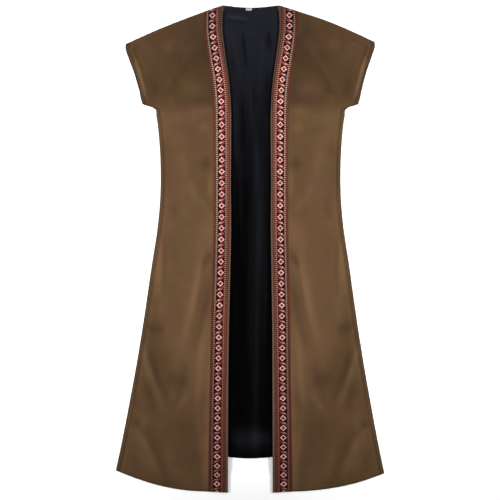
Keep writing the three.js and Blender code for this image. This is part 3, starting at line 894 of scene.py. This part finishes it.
# painted shade that grows towards the hem: it dims the tan lines and darkens all but the white rings
painted_shade_to_hem = along.between(500, 1250)
colour = (in_tan * (1 - painted_shade_to_hem * 0.45)).mix(maroon, tan)
colour = in_band.mix(colour, rgb(26, 8, 6))
for x, y, half_width, half_length, slant, thread in RHOMBS:
    size = abs(off - x) / half_width + abs(from_midway - y + off * slant) / half_length
    colour = ((size < 1) * in_band).mix(colour, rgb(*thread))
colour = ((norm < WHITE[0]) * in_band).mix(colour, rgb(108, 52, 52))
colour = ((norm < CORE) * in_band).mix(colour, rgb(94, 36, 39))
ring = (norm < WHITE[1]) * (norm > WHITE[0]) * in_band
colour = ring.mix(colour, rgb(221, 167, 157))
colour = (painted_shade_to_hem * (1 - ring)).mix(colour, rgb(255, 228, 226), "MULTIPLY")
# painted light and shade from the attribute light, which the white rings take only once
painted_brightness = 1 + start.node("Attribute", {"attribute_name": "light"}, out="Fac")
thread_tone_and_painted_light = (0.86 + slub * 0.28) * painted_brightness * (painted_brightness + ring * (1 - painted_brightness))
thread_colour = start.node("VectorMath", {"operation": "SCALE"}, {0: colour, "Scale": thread_tone_and_painted_light})
turn = 2 * np.pi / THREAD
crossings = (across * turn).cosine() * (along * turn).cosine() * 0.5 + slub * 0.3
plug(trim_shader, Base_Color=thread_colour, Normal=crossings.bump(0.6, 0.00015))

RIBBON_STEP = 1.7
ribbon_rows = rows_down(RIBBON_STEP)
width = cut("ribbon", ribbon_rows)
inner_edge = cut("edge", ribbon_rows) + cut("strip", ribbon_rows)
ribbon_share = np.concatenate([RIM, spread(1.25, 2, WIDTH - 2), WIDTH - RIM[::-1]])[None, :] / WIDTH
ribbon_x = inner_edge + ribbon_share * width
ribbon_down = front_down(ribbon_rows, ribbon_x)

# The pattern runs square to the ribbon. Its place along it is the sum of the repeats passed, each as long
# as the table says, plus what the slant of the ribbon's middle line adds across it. Only the black between
# two diamonds is eased in: at the share t of a repeat from a diamond's middle the pattern has come as far
# as t + (length / REPEAT - 1) * sin(2 pi t) / (2 pi), which leaves the diamonds their own length.
table_down = np.linspace(0, FRONT_LENGTH, FRONT_LENGTH + 1)
repeat = cut("repeat", table_down)
passed = np.concatenate([[0], np.cumsum(2 / (repeat[1:] + repeat[:-1]))])
slant = np.gradient((inner_edge + width / 2)[:, 0], ribbon_rows[:, 0])[:, None]
square_down = ribbon_down + slant * (ribbon_x - inner_edge - width / 2)
turns_passed = np.interp(square_down, table_down, passed) + FIRST
eased = (cut("repeat", ribbon_rows) / REPEAT - 1) * np.sin(2 * np.pi * (turns_passed - 0.5)) / (2 * np.pi)
pattern_along = (turns_passed + eased) * REPEAT
pattern_across = np.broadcast_to((1 - ribbon_share) * WIDTH, ribbon_x.shape)

# The selvedges and the two dotted lines are thicker, and the floats of the diamonds stand up a little.
RAISED_LINES = [(0.2, place, 0.9) for place in (1.2, 7.1, 29.2, WIDTH - 1.2)]
RAISED_FLOATS = [(0.28, 0.8, 0.26)]  # by the share of the diamond's size
diamond_along = (pattern_along / REPEAT % 1 - 0.5) * REPEAT
diamond_size = np.abs(pattern_across - MIDDLE) / DIAMOND[0] + np.abs(diamond_along) / DIAMOND[1]
from_ends = np.minimum(ribbon_rows, FRONT_LENGTH - ribbon_rows)
relief = ridges(RAISED_FLOATS, diamond_size) + ridges(RAISED_LINES, pattern_across)
relief *= rise(from_ends, 0, 2)

# Painted light makes it lightest at the chest. Towards the shoulder and the hem painted shade makes it
# darker by these shares, each between the first distance down, where it starts, and the second.
CHEST_PAINTED_GLEAM = 0.1
PAINTED_SHADES_DOWN = [(0.38, 220, -60), (0.18, 300, 680), (0.14, 680, FRONT_LENGTH)]
ribbon_painted_light = CHEST_PAINTED_GLEAM - sum(share * rise(ribbon_rows, start, end) for share, start, end in PAINTED_SHADES_DOWN)
ribbon_painted_light = np.broadcast_to(ribbon_painted_light, ribbon_x.shape)

ribbon_rim = np.minimum(np.minimum(ribbon_share, 1 - ribbon_share) * width, from_ends)

# Sewing thread: two-ply, dyed to match the borders.
sewing, sewing_shader, start = new_material("maroon_thread", Roughness=0.5, Specular_IOR_Level=0.4)
place = start.node("TexCoord", out="Object")
twist = start.node("TexWave", {"bands_direction": "DIAGONAL"}, {"Vector": place, "Scale": 900.0})
dyed = place.noise(4).mix(rgb(84, 34, 30), rgb(110, 52, 44))
plug(sewing_shader, Base_Color=dyed, Normal=twist.bump(0.5, 0.0001))

STITCH_LENGTH, STITCH_THICK, PITCH = 2.6, 0.5, 3.4
STITCH_INSET = 1.9  # of each row from its selvedge
STITCH_RAISED = 0.12  # of the thread's middle over the ribbon
UNSEWN = 4  # rows of the ribbon's mesh at each end
SPINDLE = np.array([-0.97, -0.6, 0, 0.6, 0.97])[None, :, None, None]  # shares at which its rings lie
STITCH_SIDES = 6
UP = np.array([0, 0, 1.0])


def stitches(name, path):
    """A row of stitches along a path of (x, down, z). Each is a spindle: at the share s of its half
    length its radius is STITCH_THICK / 2 * sqrt(1 - s²), and its ends sink by half a thickness."""
    steps = np.linalg.norm(np.diff(path, axis=0), axis=1)
    run = np.concatenate([[0], np.cumsum(steps)])

    def at(distance):
        return np.stack([np.interp(distance, run, path[:, k]) for k in range(3)], -1)

    middles = np.arange(PITCH / 2, run[-1] - PITCH / 2, PITCH)
    forward = at(middles + 0.5) - at(middles - 0.5)
    forward /= np.linalg.norm(forward, axis=1)[:, None]
    aside = np.cross(forward, UP)
    angle = np.linspace(0, 2 * np.pi, STITCH_SIDES, endpoint=False)[None, None, :, None]
    round_it = np.cos(angle) * aside[:, None, None, :] + np.sin(angle) * UP
    centre = at(middles)[:, None, None, :] + forward[:, None, None, :] * SPINDLE * STITCH_LENGTH / 2
    sunk = -UP * STITCH_THICK / 2 * SPINDLE**2
    point = centre + sunk + STITCH_THICK / 2 * np.sqrt(1 - SPINDLE**2) * round_it
    index = np.arange(point[..., 0].size).reshape(point.shape[:3])
    ahead = np.roll(index, -1, axis=2)
    tube = np.stack([index[:, :-1], ahead[:, :-1], ahead[:, 1:], index[:, 1:]], -1).reshape(-1, 4)
    caps = [index[:, 0][:, corners] for corners in ([0, 3, 2, 1], [0, 5, 4, 3])]
    caps += [index[:, -1][:, corners] for corners in ([0, 1, 2, 3], [0, 3, 4, 5])]
    faces = np.concatenate([tube, *caps])
    return make_piece(name, np.moveaxis(point, -1, 0), faces, sewing)


for name, hand in (("left", 1), ("right", -1)):
    ribbon_low = front_low(ribbon_rows, ribbon_x, hand) + FRONT_CLOTH + GAP
    ribbon = wall(
        f"{name}_ribbon", hand * ribbon_x, ribbon_down, ribbon_low, RIBBON_CLOTH + relief,
        ribbon_rim, trim, weave=[pattern_across, pattern_along],
        light=ribbon_painted_light,
    )
    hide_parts(f"ribbon_{name}")
    sewn_level = ribbon_low + RIBBON_CLOTH + relief + STITCH_RAISED
    surface = np.stack([hand * ribbon_x, ribbon_down, sewn_level], -1)
    for selvedge, line in (("inner", STITCH_INSET), ("outer", WIDTH - STITCH_INSET)):
        column = np.argmin(np.abs(ribbon_share[0] * WIDTH - line))
        stitches(f"{name}_ribbon_{selvedge}_stitches", surface[UNSEWN:-UNSEWN, column])
